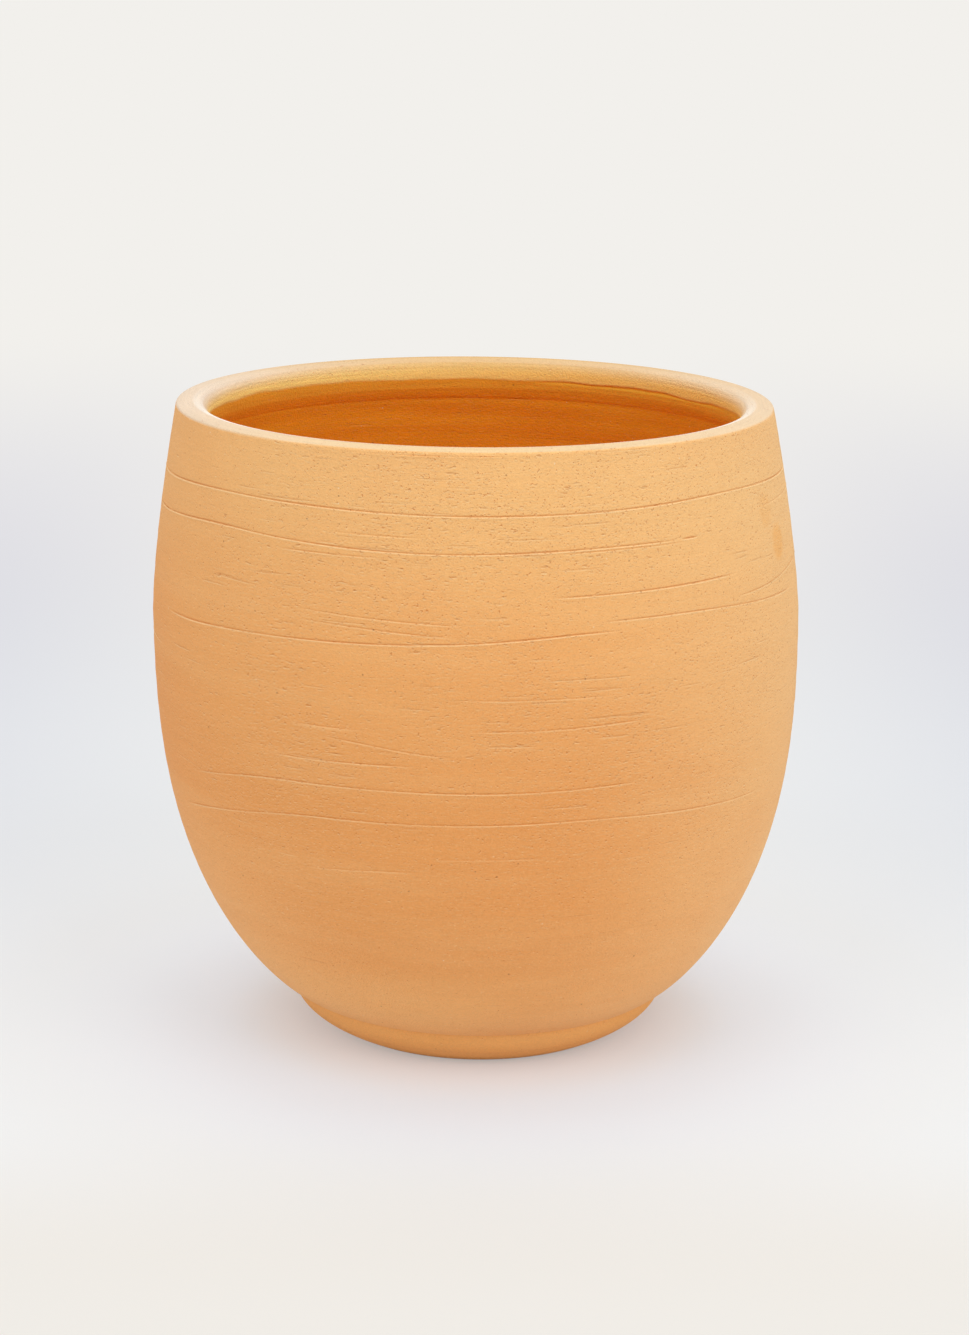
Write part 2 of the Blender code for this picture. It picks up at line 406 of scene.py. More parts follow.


# %% [markdown]
# Moving the vertices like wet clay
#
# After the turn every row is a perfect ring. This step bends the rows near a wheel line until they follow
# it, pushes the clay in and out by the lines and rings above, and leans the whole pot. It is the same as
# sculpting, only written down. Three numbers are kept on each vertex for the material: one is above 0 in
# a wheel line, where shade is painted, and below 0 on the burr under it, where a highlight is painted; one
# says how far inside the pot the vertex lies; and one marks the lip's top and inner face, where a pale
# sheen is painted.

# %% Read and write a piece's vertices
def read_points(piece):
    """Turn (0 at the front, growing to the right), radius and height of each vertex."""
    flat = np.empty(len(piece.data.vertices) * 3)
    piece.data.vertices.foreach_get("co", flat)
    x, y, z = flat.reshape(-1, 3).T
    return np.arctan2(x, -y), np.hypot(x, y), z.copy()


def place_points(piece, turn, radius, height):
    """Writes the vertices back, leaning a little more to the left the higher they are."""
    placed = np.stack([radius * np.sin(turn) - LEAN * height, -radius * np.cos(turn), height], axis=1)
    piece.data.vertices.foreach_set("co", placed.ravel())
    piece.data.update()
    print(piece.name, "leans to the left at its top by mm:", round(LEAN * float(height.max()) / MM, 2))


def keep_numbers(piece, scored=0.0, hollow=0.0, lip_cap=0.0):
    """Stores the numbers that the material reads by name, each one value per vertex or one for them all."""
    for name, values in (("scored", scored), ("hollow", hollow), ("lip_cap", lip_cap)):
        layer = piece.data.attributes.new(name, "FLOAT", "POINT")
        layer.data.foreach_set("value", np.full(len(layer.data), values, np.float32))


# %% Rows that follow the lines
BELOW_THE_LINES, SAME_COLUMN = 0.088, 0.002
# Heights at which the rows stay level: the joints, and one below the lowest wheel line
STILL_HEIGHTS = np.array([FOOT_TOP, BELOW_THE_LINES, LOWER_TOP, BELLY_TOP, SHOULDER_TOP, LIP_EDGE])
HOMES = np.array([line[0] for line in WHEEL_LINES]) * MM


def follow_lines(degrees, height):
    """New heights for outside points, so that rows drawn at a line's home height lie on the line."""
    homes = np.concatenate([HOMES, STILL_HEIGHTS])
    order = np.argsort(homes)
    moved = np.empty_like(height)
    for angle in np.unique(np.round(degrees, 3)):
        column = np.abs(degrees - angle) < SAME_COLUMN
        paths = [line_height(line, np.array([angle]))[0] for line in WHEEL_LINES]
        targets = np.concatenate([paths, STILL_HEIGHTS])
        moved[column] = np.interp(height[column], homes[order], targets[order])
    return moved


print("homes of the lines in mm:", [float(line[0]) for line in WHEEL_LINES])

# %% Bend, score and lean a wall
NEAR_SURFACE = 0.3 * MM


def shape_wall(piece):
    """Gives a wall piece its wheel lines, rings and lean, and keeps the numbers that the clay reads."""
    turn, radius, height = read_points(piece)
    degrees = np.degrees(turn)
    out = np.abs(radius - outer_radius(height)) < NEAR_SURFACE
    height[out] = follow_lines(degrees[out], height[out])
    scored = np.zeros_like(height)
    cut, scored[out] = score(degrees[out], height[out])
    radius[out] = outer_radius(height[out]) + cut + outer_rings(turn[out], height[out])
    radius[~out] += inner_rings(turn[~out], height[~out])
    keep_numbers(piece, scored=scored, hollow=~out)
    place_points(piece, turn, radius, height)
    return int(out.sum())


# %% Rows for a wall's outline
OUTER_GAP, INNER_GAP, FINE_STEPS = 2.0 * MM, 2.2 * MM, 4000
# How far the even rows keep from a wheel line and from an end, how far the last row but one is from the end,
# and the least gap between two rows
CLEAR_OF_LINE, CLEAR_OF_END, END_GAP, LEAST_GAP = 1.3 * MM, 0.6 * MM, 0.3 * MM, 0.1 * MM
# Close rows inside for the line in the band near the rim
RIM_ROWS = np.arange(257.6, 263.4, 0.4) * MM


def even_rows(bottom, top, gap):
    """Heights from bottom to top, at about one gap from each other along the outside."""
    fine = np.linspace(bottom, top, FINE_STEPS)
    run = np.concatenate([[0.0], np.cumsum(np.hypot(np.diff(outer_radius(fine)), np.diff(fine)))])
    count = max(2, round(run[-1] / gap))
    return np.interp(np.linspace(0.0, run[-1], count + 1), run, fine)


def outer_rows(bottom, top, gap=OUTER_GAP):
    """Rows for the outside: even ones, close ones at each wheel line, and one just inside each end."""
    rows = even_rows(bottom, top, gap)[1:-1]
    for home in HOMES[(HOMES > bottom) & (HOMES < top)]:
        rows = rows[np.abs(rows - home) > CLEAR_OF_LINE]
        rows = np.concatenate([rows, home + GROOVE_ROWS])
    rows = np.sort(rows[(rows > bottom + CLEAR_OF_END) & (rows < top - CLEAR_OF_END)])
    rows = rows[np.concatenate([[True], np.diff(rows) > LEAST_GAP])]
    return np.concatenate([[bottom, bottom + END_GAP], rows, [top - END_GAP, top]])


def wall_outline(bottom, top):
    """The outline of a wall piece: up the outside, down the inside."""
    rows = outer_rows(bottom, top)
    inner_rows = np.linspace(top, bottom, round((top - bottom) / INNER_GAP) + 1)
    if top > RIM_ROWS[0]:
        lower = inner_rows[inner_rows < RIM_ROWS[0] - LEAST_GAP]
        inner_rows = np.concatenate([[top], RIM_ROWS[::-1], lower])
    return np.concatenate([curve_points(outer_radius, rows), inside(inner_rows)]).tolist()


print("rows on the shoulder:", len(outer_rows(BELLY_TOP, SHOULDER_TOP)))

# %% [markdown]
# The wall, in three reaches
#
# The shoulder and the belly are plain reaches of wall between two joints. The lowest one also has the
# heel, a soft bend inside where the wall runs out onto the floor. A fillet could be cut with a bevel, but
# fingers leave a wide uneven curve there, so it is drawn into the outline as one bend.

# %% Shoulder and belly
def throw_wall(name, outline, node):
    """A wall piece, drawn, turned and shaped, in the place of a node of the solids."""
    piece = turn_outline(draw_outline(name, outline))
    count = shape_wall(piece)
    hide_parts(node)
    print(name, "has", count, "points outside")
    return piece


shoulder_wall = throw_wall("thrown_shoulder", wall_outline(BELLY_TOP, SHOULDER_TOP), "shoulder_wall")
belly_wall = throw_wall("thrown_belly", wall_outline(LOWER_TOP, BELLY_TOP), "belly_wall")

# %% Lower wall with its heel
HEEL_RADIUS, HEEL_START = 0.056, 0.0294
LOWER_INNER_ROWS, HEEL_POINTS = 30, 17
heel_top = inside(np.array([HEEL_START]))[0]
slope = inside(np.array([HEEL_START + MM]))[0] - heel_top
corner = heel_top - slope * (heel_top[1] - OPEN_FLOOR) / slope[1]
heel_end = np.array([HEEL_RADIUS, OPEN_FLOOR])
bend = np.linspace(0.0, 1.0, HEEL_POINTS)[:, None]
heel = heel_top * (1 - bend) ** 2 + corner * 2 * bend * (1 - bend) + heel_end * bend ** 2
lower_outline = np.concatenate([
    curve_points(outer_radius, outer_rows(FOOT_TOP, LOWER_TOP)),
    inside(np.linspace(LOWER_TOP, HEEL_START, LOWER_INNER_ROWS)[:-1]),
    heel,
    [(HEEL_RADIUS, FOOT_TOP)],
]).tolist()
lower_wall = throw_wall("thrown_lower_wall", lower_outline, "lower_wall")

# %% [markdown]
# The lip
#
# The potter folds the rim over, so the lip is thicker than the wall and ends inside in a ragged undercut.
# Its top is a shallow dome with a soft outer corner. The outline is a smooth curve through a few measured
# points, and the undercut is then pushed up and down a little round the pot, because no real edge of clay
# runs dead level.

# %% The lip's outline
# Points of (radius, height) in mm: from the outer corner over the top and down the inner face, and then
# under the fold
LIP_TOP = ((127.95, 275.15), (127.7, 275.7), (127.2, 276.1), (126.2, 276.4), (124.4, 276.75),
           (122.2, 276.95), (120.0, 276.8), (117.9, 276.3), (116.2, 275.3), (114.9, 273.9),
           (114.2, 272.2), (113.85, 270.7), (113.7, 269.4), (113.65, 268.6))
LIP_UNDERCUT = ((113.7, 268.2), (113.8, 267.8), (113.97, 267.3), (114.3, 266.5), (114.9, 265.2),
                (115.5, 263.8), (115.9, 262.8))
SIDE_TOP, SIDE_GAP = 0.2734, 1.2 * MM
# Close rows under the top, for the burr in front
BURR_ROWS = np.arange(273.6, 275.0, 0.16) * MM


def curve_through(points, between):
    """A smooth curve through the given points, with so many steps between two of them."""
    known = np.array(points, float)
    slopes = np.gradient(known, axis=0)
    t = np.linspace(0.0, 1.0, between, endpoint=False)[:, None]
    spans = []
    for a, b, da, db in zip(known, known[1:], slopes, slopes[1:]):
        spans.append((2 * t ** 3 - 3 * t ** 2 + 1) * a + (t ** 3 - 2 * t ** 2 + t) * da
                     + (3 * t ** 2 - 2 * t ** 3) * b + (t ** 3 - t ** 2) * db)
    return np.concatenate(spans + [known[-1:]])


lip_rows = np.concatenate([outer_rows(SHOULDER_TOP, SIDE_TOP, SIDE_GAP), BURR_ROWS])
lip_side = curve_points(outer_radius, lip_rows)
lip_outline = np.concatenate([
    lip_side,
    curve_through(np.concatenate([lip_side[-1:] / MM, LIP_TOP]), 4)[1:] * MM,
    curve_through(LIP_UNDERCUT, 3) * MM,
    inside(np.array([SHOULDER_TOP])),
]).tolist()
lip = turn_outline(draw_outline("folded_lip", lip_outline))

# %% Where the lip is uneven
# Where the fold ends inside the pot, as (degrees from the front, height in mm)
CREASE_PATH = ((-180, 268.4), (-171, 268.0), (-162, 268.0), (-148, 268.8), (-131, 268.8), (-121, 269.4),
               (-112, 268.7), (-85, 270.2), (-30, 269.3), (20, 269.8), (86, 270.4), (112, 268.4),
               (118, 267.7), (124, 267.2), (133, 268.4), (142, 268.3), (150, 267.8), (160, 268.2),
               (170, 267.8), (176, 267.8))
# Its height in the outline, in mm
CREASE_LEVEL = 268.4
# Fine lines on the inner face of the lip: (height in mm, from, to in degrees, depth in mm)
LIP_LINES = ((270.3, -165, -95, 0.10), (271.3, -150, -84, 0.13), (272.1, 92, 150, 0.10),
             (272.6, -176, -100, 0.12), (273.7, 96, 170, 0.12), (274.3, -160, -80, 0.10),
             (274.9, 150, 200, 0.08), (271.0, 100, 132, 0.12), (272.4, -60, 50, 0.10),
             (274.0, -20, 80, 0.10))


def front_burr(degrees, level):
    """A burr with a groove over it, just under the top and only near the front, in mm."""
    near_front = window(degrees, -24, 10, 8) * come_and_go(degrees / 1.9, 0.25)
    return near_front * (0.20 * hump(level, 274.05, 0.22) - 0.26 * hump(level, 274.55, 0.20))


def face_lines(turn, level):
    """The fine lines on the inner face, in mm. Each one waves a little on its way."""
    move = np.zeros_like(level)
    for line, start, end, depth in LIP_LINES:
        path = line + 0.25 * np.sin(2 * turn + line)
        move += depth * window(np.degrees(turn), start, end, 14) * hump(level, path, 0.24)
    return move


def fold_end(turn):
    """How far the ragged end of the fold lies above its height in the outline, in mm."""
    path = np.interp(np.degrees(turn), *np.array(CREASE_PATH).T, period=360.0)
    return path + 0.10 * np.sin(23 * turn) + 0.07 * np.sin(41 * turn + 2.0) - CREASE_LEVEL


print("fine lines on the lip:", len(LIP_LINES))

# %% Shape the lip
FACE_RADIUS = 0.119


def shape_lip(piece):
    """Shapes the fold's ragged end, its burr and its fine lines, and keeps the clay's numbers."""
    turn, radius, height = read_points(piece)
    degrees, level = np.degrees(turn), height / MM
    side = (np.abs(radius - outer_radius(height)) < NEAR_SURFACE) & (height < LIP_EDGE)
    face = ~side & (radius < FACE_RADIUS)
    above = level - CREASE_LEVEL
    thick = 0.05 + 0.95 * window(degrees, 104, 168, 16)
    on_face = face_lines(turn, level) + 0.80 * thick * hump(above, -1.1, 0.7)
    on_face += np.where(above < -2.0, inner_rings(turn, height) / MM, 0.0)
    outwards = np.where(side, 1.0, ramp(radius, 0.116, 0.127))
    drying = outer_rings(turn, np.minimum(height, LIP_EDGE)) * outwards
    radius += drying + (front_burr(degrees, level) * side + on_face * face) * MM
    waves = 0.14 * np.sin(turn + 2.0) + 0.09 * np.sin(3 * turn + 0.6)
    height += (fold_end(turn) * hump(above, 0.0, 1.9) * face + waves * ramp(level, 271, 275)) * MM
    fade = 1.1 - 0.75 * thick
    # The last number marks the lip's top and inner face, where the material paints a pale sheen
    keep_numbers(piece, hollow=face * ramp(above, fade - 0.5, -fade - 0.5),
                 lip_cap=~side * ramp(radius, 0.1279, 0.1273))
    place_points(piece, turn, radius, height)


shape_lip(lip)
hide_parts("lip")

# %% [markdown]
# The foot and the floor
#
# The potter turns the leather-hard pot over and trims the foot with a loop tool, which leaves a rounded
# side, a flat ring to stand on and a shallow recess. The drain hole is punched through the floor, so its
# edges are rounded and not quite even. Inside, the floor keeps the spiral of the fingers that pressed it
# flat.

# %% Foot ring
FOOT_FACE_INNER, FOOT_BORE, SIDE_ROWS = 0.051, 0.049, 12
# The rounded edge between the ring's flat face and its bore
BORE_EDGE = ((0.0503, 0.0003), (0.0496, 0.0010), (0.0491, 0.0018), (FOOT_BORE, 0.0026), (FOOT_BORE, 0.0050))
foot_outline = np.concatenate([
    curve_points(foot_radius, np.linspace(FOOT_RING_TOP, 0.6 * MM, SIDE_ROWS)),
    [(foot_radius(0.3 * MM) - 0.2 * MM, 0.2 * MM), (foot_radius(0.0) - 0.7 * MM, 0.0)],
    level_points(FOOT_GROUND_RADIUS - 2 * MM, FOOT_FACE_INNER, 0.0, 6),
    BORE_EDGE,
    [(FOOT_BORE, FOOT_RING_TOP)],
]).tolist()
foot_ring = turn_outline(draw_outline("trimmed_foot_ring", foot_outline))


def shape_foot(piece):
    """Side of the foot: the same slight unevenness as the wall above, so that the two meet."""
    turn, radius, height = read_points(piece)
    side = np.abs(radius - foot_radius(height)) < MM
    radius[side] += outer_rings(turn[side], height[side]) * ramp(height[side], 0.0, 4 * MM)
    keep_numbers(piece)
    place_points(piece, turn, radius, height)


shape_foot(foot_ring)
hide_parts("foot_ring")

# %% Floor slab
HOLE_RADIUS, FLAT_STARTS = 0.011, 0.0145
# The hole's rounded edge: (out from the hole's wall, down from the face) in mm
HOLE_EDGE = ((2.6, 0.0), (1.5, 0.15), (0.7, 0.55), (0.2, 1.2), (0.0, 2.0))
hole_low = [(HOLE_RADIUS + out * MM, FOOT_RING_TOP + down * MM) for out, down in HOLE_EDGE]
hole_top = [(HOLE_RADIUS + out * MM, OPEN_FLOOR - down * MM) for out, down in reversed(HOLE_EDGE)]
slab_outline = np.concatenate([
    curve_points(foot_radius, np.linspace(FOOT_TOP, FOOT_RING_TOP, SIDE_ROWS)),
    level_points(FOOT_BORE, FLAT_STARTS, FOOT_RING_TOP, 20),
    hole_low,
    [(HOLE_RADIUS, 0.0115), (HOLE_RADIUS, 0.0140)],
    hole_top,
    level_points(FLAT_STARTS, HEEL_RADIUS, OPEN_FLOOR, 34),
    [(HEEL_RADIUS, FOOT_TOP)],
]).tolist()
floor_slab = turn_outline(draw_outline("pressed_floor", slab_outline))


# %% Shape the floor
def shape_floor(piece):
    """Presses the fingers' spiral into the floor and a finer one under it, and makes the hole uneven."""
    turn, radius, height = read_points(piece)
    side = np.abs(radius - foot_radius(height)) < NEAR_SURFACE
    top = (height > OPEN_FLOOR - 0.1 * MM) & ~side
    under = (height < FOOT_RING_TOP + 0.1 * MM) & ~side
    bore = radius < HOLE_RADIUS + MM
    out, heel = radius / MM, HEEL_RADIUS / MM
    pressed = spiral(turn, out, depth=0.35, gap=8.5) - 0.1
    pressed *= ramp(out, 12.5, 18.5) * ramp(out, heel, heel - 6)
    scraped = spiral(turn, out, depth=0.16, gap=5.2, arms=-1) * ramp(out, 12.5, 16.5) * ramp(out, 48, 44)
    uneven = 0.14 * np.sin(3 * turn + 0.8) + 0.08 * np.sin(7 * turn)
    radius += outer_rings(turn, height) * side + uneven * bore * MM
    height += (pressed * top + scraped * under) * MM
    keep_numbers(piece, hollow=top | (bore & (height > 12 * MM)))
    place_points(piece, turn, radius, height)


shape_floor(floor_slab)
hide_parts("floor_disc")

# %% Smooth the pieces and let them ride
SHARP_ANGLE = math.radians(55)
pot_pieces = [foot_ring, floor_slab, lower_wall, belly_wall, shoulder_wall, lip]
for piece in pot_pieces:
    select_nothing()
    piece.select_set(True)
    bpy.context.view_layer.objects.active = piece
    bpy.ops.object.shade_smooth_by_angle(angle=SHARP_ANGLE)
    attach(piece, "root")
    print(piece.name, "at", tuple(piece.location), "triangles:", 2 * len(piece.data.polygons))

# %% [markdown]
# Fired clay
#
# Unglazed terracotta is matte, and its colour drifts: a little redder where the fire was hotter, paler
# where salts dried on it. The wheel draws every effect out along the turn, so most of the patterns here
# are measured round the axis and not in plain X and Y. Each effect is a small node group with its own
# sockets, which makes it easy to try alone. The helpers in the next cells place one node each, so that a
# pattern reads as a formula.

# %% Helpers that place a node
def add_node(tree, kind, **settings):
    """A shader node, with some of its settings changed."""
    made = tree.nodes.new("ShaderNode" + kind)
    for name, value in settings.items():
        setattr(made, name, value)
    return made


def feed(tree, socket, value):
    """Links another socket to this one, or sets it to a plain value."""
    if isinstance(value, bpy.types.NodeSocket):
        tree.links.new(value, socket)
    else:
        socket.default_value = value


def calc(tree, operation, *values, clamp=False):
    made = add_node(tree, "Math", operation=operation, use_clamp=clamp)
    for socket, value in zip(made.inputs, values):
        feed(tree, socket, value)
    return made.outputs[0]


def calc_vector(tree, operation, *values):
    made = add_node(tree, "VectorMath", operation=operation)
    for socket, value in zip(made.inputs, values):
        feed(tree, socket, value)
    return made.outputs["Value" if operation == "LENGTH" else "Vector"]


print("helpers: add_node, feed, calc, calc_vector")


# %% Helpers for steps, colours and noise
def soft_step(tree, value, low, high, to_low=0.0, to_high=1.0):
    """Goes softly from to_low to to_high while the value goes from low to high."""
    made = add_node(tree, "MapRange", interpolation_type="SMOOTHSTEP")
    for socket, given_value in zip(made.inputs, (value, low, high, to_low, to_high)):
        feed(tree, socket, given_value)
    return made.outputs[0]


def blend_colours(tree, share, low, high, kind="MIX"):
    made = add_node(tree, "Mix", data_type="RGBA", blend_type=kind)
    feed(tree, made.inputs[0], share)
    feed(tree, made.inputs[6], low)
    feed(tree, made.inputs[7], high)
    return made.outputs[2]


def combine(tree, **parts):
    made = add_node(tree, "CombineXYZ")
    for axis, value in parts.items():
        feed(tree, made.inputs[axis], value)
    return made.outputs[0]


def separate(tree, vector):
    made = add_node(tree, "SeparateXYZ")
    feed(tree, made.inputs[0], vector)
    return made.outputs


def cloud_noise(tree, vector, scale, detail):
    made = add_node(tree, "TexNoise")
    feed(tree, made.inputs["Vector"], vector)
    feed(tree, made.inputs["Scale"], scale)
    feed(tree, made.inputs["Detail"], detail)
    return made.outputs["Fac"]


print("helpers: soft_step, blend_colours, combine, separate, cloud_noise")


# %% Helpers that join a few nodes
def product(tree, first, *others):
    """All the values, multiplied with each other."""
    for other in others:
        first = calc(tree, "MULTIPLY", first, other)
    return first


def stripe(tree, value, rise, full, fade, end):
    """1 while the value lies between full and fade, and 0 before rise and after end."""
    return product(tree, soft_step(tree, value, rise, full), soft_step(tree, value, end, fade))


def swing(tree, noise, reach, level):
    """A level that swings with a noise, whose own middle is 0.5."""
    return calc(tree, "MULTIPLY_ADD", calc(tree, "SUBTRACT", noise, 0.5), reach, level)


def seen_directly(tree):
    """1 where the camera, a mirror or a lens sees the surface, and 0 for light on its way to the pot."""
    rays = add_node(tree, "LightPath").outputs
    mirrored = calc(tree, "MAXIMUM", rays["Is Glossy Ray"], rays["Is Transmission Ray"])
    return calc(tree, "MAXIMUM", rays["Is Camera Ray"], mirrored)


print("helpers: product, stripe, swing, seen_directly")


# %% Helpers for groups and paint
def new_group(name, inputs, outputs):
    """A shader node group. Inputs are (name, kind, start value), outputs are (name, kind)."""
    tree = bpy.data.node_groups.new(name, "ShaderNodeTree")
    for label, kind, value in inputs:
        socket = tree.interface.new_socket(label, in_out="INPUT", socket_type="NodeSocket" + kind)
        if value is not None:
            socket.default_value = value
    for label, kind in outputs:
        tree.interface.new_socket(label, in_out="OUTPUT", socket_type="NodeSocket" + kind)
    return tree, tree.nodes.new("NodeGroupInput").outputs, tree.nodes.new("NodeGroupOutput").inputs


def use_group(tree, group, **values):
    """Places a group and feeds its inputs. An underscore in a name may stand for a space."""
    made = add_node(tree, "Group", node_tree=group)
    for label, value in values.items():
        feed(tree, made.inputs[label.replace("_", " ")], value)
    return made.outputs


def paint(red, green, blue):
    """A colour as a paint program shows it, from 0 to 255, made linear for the shader."""
    shares = [channel / 255 for channel in (red, green, blue)]
    return tuple(s / 12.92 if s <= 0.04045 else ((s + 0.055) / 1.055) ** 2.4 for s in shares) + (1.0,)


print("a mid orange in linear numbers:", [round(c, 3) for c in paint(236, 180, 118)])

# %% Group: where a point lies on the wheel
tree, given, out = new_group(
    "wheel_place", [("Point", "Vector", None)],
    [("Upright", "Vector"), ("Direction", "Vector"), ("Radius", "Float"), ("Height", "Float")])
point = separate(tree, given["Point"])
straight_x = calc(tree, "MULTIPLY_ADD", point["Z"], LEAN, point["X"])
flat = combine(tree, X=straight_x, Y=point["Y"])
feed(tree, out["Upright"], combine(tree, X=straight_x, Y=point["Y"], Z=point["Z"]))
feed(tree, out["Direction"], calc_vector(tree, "NORMALIZE", flat))
feed(tree, out["Radius"], calc_vector(tree, "LENGTH", flat))
feed(tree, out["Height"], point["Z"])
wheel_place = tree
print("group:", tree.name)

# %% Group: streaks drawn out by the wheel
STREAK_ROUGHNESS = 0.6
tree, given, out = new_group(
    "wheel_streaks",
    [("Direction", "Vector", None), ("Radius", "Float", 0.1), ("Height", "Float", 0.1),
     ("Changes Round", "Float", 2.0), ("Fineness", "Float", 800.0), ("Detail", "Float", 2.0)],
    [("Value", "Float")])
round_part = add_node(tree, "VectorMath", operation="SCALE")
feed(tree, round_part.inputs[0], given["Direction"])
feed(tree, round_part.inputs["Scale"], given["Changes Round"])
radius_part = combine(tree, Z=product(tree, given["Radius"], given["Fineness"]))
streaks = add_node(tree, "TexNoise", noise_dimensions="4D")
feed(tree, streaks.inputs["Vector"], calc_vector(tree, "ADD", round_part.outputs[0], radius_part))
feed(tree, streaks.inputs["W"], product(tree, given["Height"], given["Fineness"]))
feed(tree, streaks.inputs["Scale"], 1.0)
feed(tree, streaks.inputs["Detail"], given["Detail"])
feed(tree, streaks.inputs["Roughness"], STREAK_ROUGHNESS)
feed(tree, out["Value"], streaks.outputs["Fac"])
wheel_streaks = tree
print("group:", tree.name)


def wheel_noise(tree, place, changes_round, fineness, detail):
    """Streaks that change so often in a turn, and are finer up and down the higher the fineness is."""
    around = {label: place[label] for label in ("Direction", "Radius", "Height")}
    return use_group(tree, wheel_streaks, Changes_Round=changes_round, Fineness=fineness, Detail=detail,
                     **around)["Value"]


# %% Group: scattered specks, each a small round grain in the clay
GRAIN_SMALLEST, GRAIN_SPREAD, GRAIN_CORE = 0.5, 0.6, 0.45
tree, given, out = new_group(
    "clay_grains",
    [("Point", "Vector", None), ("Length", "Float", 0.005), ("Breadth", "Float", 0.0045),
     ("Share", "Float", 0.2), ("Size", "Float", 0.1), ("Shift", "Float", 0.0)],
    [("Mask", "Float")])
cell_size = combine(tree, X=given["Length"], Y=given["Length"], Z=given["Breadth"])
cell_place = calc_vector(tree, "ADD", calc_vector(tree, "DIVIDE", given["Point"], cell_size), given["Shift"])
cells = add_node(tree, "TexVoronoi", voronoi_dimensions="3D", feature="F1")
feed(tree, cells.inputs["Vector"], cell_place)
feed(tree, cells.inputs["Scale"], 1.0)
chance = add_node(tree, "SeparateColor")
feed(tree, chance.inputs[0], cells.outputs["Color"])
own_size = calc(tree, "MULTIPLY_ADD", chance.outputs[1], GRAIN_SPREAD, GRAIN_SMALLEST)
own_size = product(tree, given["Size"], own_size)
grain = soft_step(tree, cells.outputs["Distance"], own_size, product(tree, own_size, GRAIN_CORE))
picked = calc(tree, "LESS_THAN", chance.outputs[0], given["Share"])
feed(tree, out["Mask"], product(tree, grain, picked))
clay_grains = tree
print("group:", tree.name)

# %% Group: what grit and fingers leave on damp clay
SAND_SCALE, THINNING = 1250.0, 0.12
# Marks that the wheel draws out: (changes in a turn, fineness)
DRAWN_MARKS = {"Flecks": (55.0, 1150.0), "Drags": (36.0, 1150.0), "Hairs": (4.0, 800.0)}
# Marks that are cut in: (the amount that thins them out, where the noise begins to show, where it is full)
CUT_MARKS = {"Pits": ("Amount", 0.615, 0.68), "Drags": ("Long Amount", 0.63, 0.70),
             "Hairs": ("Long Amount", 0.63, 0.70)}
tree, given, out = new_group(
    "clay_skin",
    [("Upright", "Vector", None), ("Direction", "Vector", None), ("Radius", "Float", 0.1),
     ("Height", "Float", 0.1), ("Amount", "Float", 1.0), ("Long Amount", "Float", 1.0),
     ("Higher", "Float", 0.0)],
    [(label, "Float") for label in ("Sand", "Flecks", "Pits", "Drags", "Hairs")])
sand_place = calc_vector(tree, "ADD", given["Upright"], combine(tree, Z=given["Higher"]))
sand = cloud_noise(tree, sand_place, SAND_SCALE, 1.0)
wheel_place_above = {label: given[label] for label in ("Direction", "Radius")}
wheel_place_above["Height"] = calc(tree, "ADD", given["Height"], given["Higher"])
noises = {"Pits": sand}
for label, (changes_round, fineness) in DRAWN_MARKS.items():
    noises[label] = wheel_noise(tree, wheel_place_above, changes_round, fineness, 1.0)
feed(tree, out["Sand"], sand)
feed(tree, out["Flecks"], noises["Flecks"])
for label, (amount, start, full) in CUT_MARKS.items():
    lack = calc(tree, "MULTIPLY_ADD", given[amount], -THINNING, THINNING)
    feed(tree, out[label], soft_step(tree, calc(tree, "SUBTRACT", noises[label], lack), start, full))
clay_skin = tree
print("group:", tree.name)

# %% [markdown]
# Putting the clay together
#
# The colour starts as a drift between a few clays, gets broad and fine streaks, then lines, pits and
# specks on top. The same masks also feed one height, in millimetres, and a Bump node turns it into slopes
# that are too fine to model. A pit gets painted shade, and the clay that it pushed out gets a painted
# highlight under it, for the light that it catches. So each mark is looked up twice, at its own place and
# a little higher, and where only the higher one shows the clay is painted pale. The walls inside are
# painted a deeper, darker orange: painted shade for the inside of the pot and the orange light that
# bounces there.

# %% The colours of the clay
FOOT_CLAY, LOW_CLAY = paint(250, 189, 119), paint(235, 162, 93)
CLAY, HIGH_CLAY = paint(241, 173, 104), paint(245, 190, 123)
WARM_CLAY, PALE_CLAY, TRIMMED_CLAY = paint(235, 157, 88), paint(252, 206, 144), paint(249, 181, 103)
# The lip's colours on this line and the next are painted highlight and sheen, brighter where the light falls
# on it
FRONT_LIP, SIDE_LIP, BACK_LIP = paint(232, 201, 154), paint(230, 208, 184), paint(220, 179, 118)
LEFT_INNER_LIP, RIGHT_INNER_LIP = paint(255, 219, 126), paint(248, 195, 100)
# Painted shade inside the pot: a deep orange, a deeper one, and a paler band under the lip that is painted
# light
SHADED_INSIDE, DEEPER_SHADED_INSIDE, LIT_INSIDE_BAND = paint(246, 166, 22), paint(239, 150, 11), paint(254, 190, 56)
# A painted shade for cuts, pits and marks, then two real grains
PAINTED_SHADE, SPECK, LIME = paint(196, 98, 6), paint(150, 84, 50), paint(250, 226, 190)
# A painted highlight on the lip's inner edge in front, a painted highlight under the marks, and a real stain
FRONT_EDGE_HIGHLIGHT, PAINTED_HIGHLIGHT, STAIN_CLAY = paint(252, 246, 236), paint(255, 222, 168), paint(246, 176, 92)
print("the clay at the belly is", [round(channel, 3) for channel in CLAY[:3]])


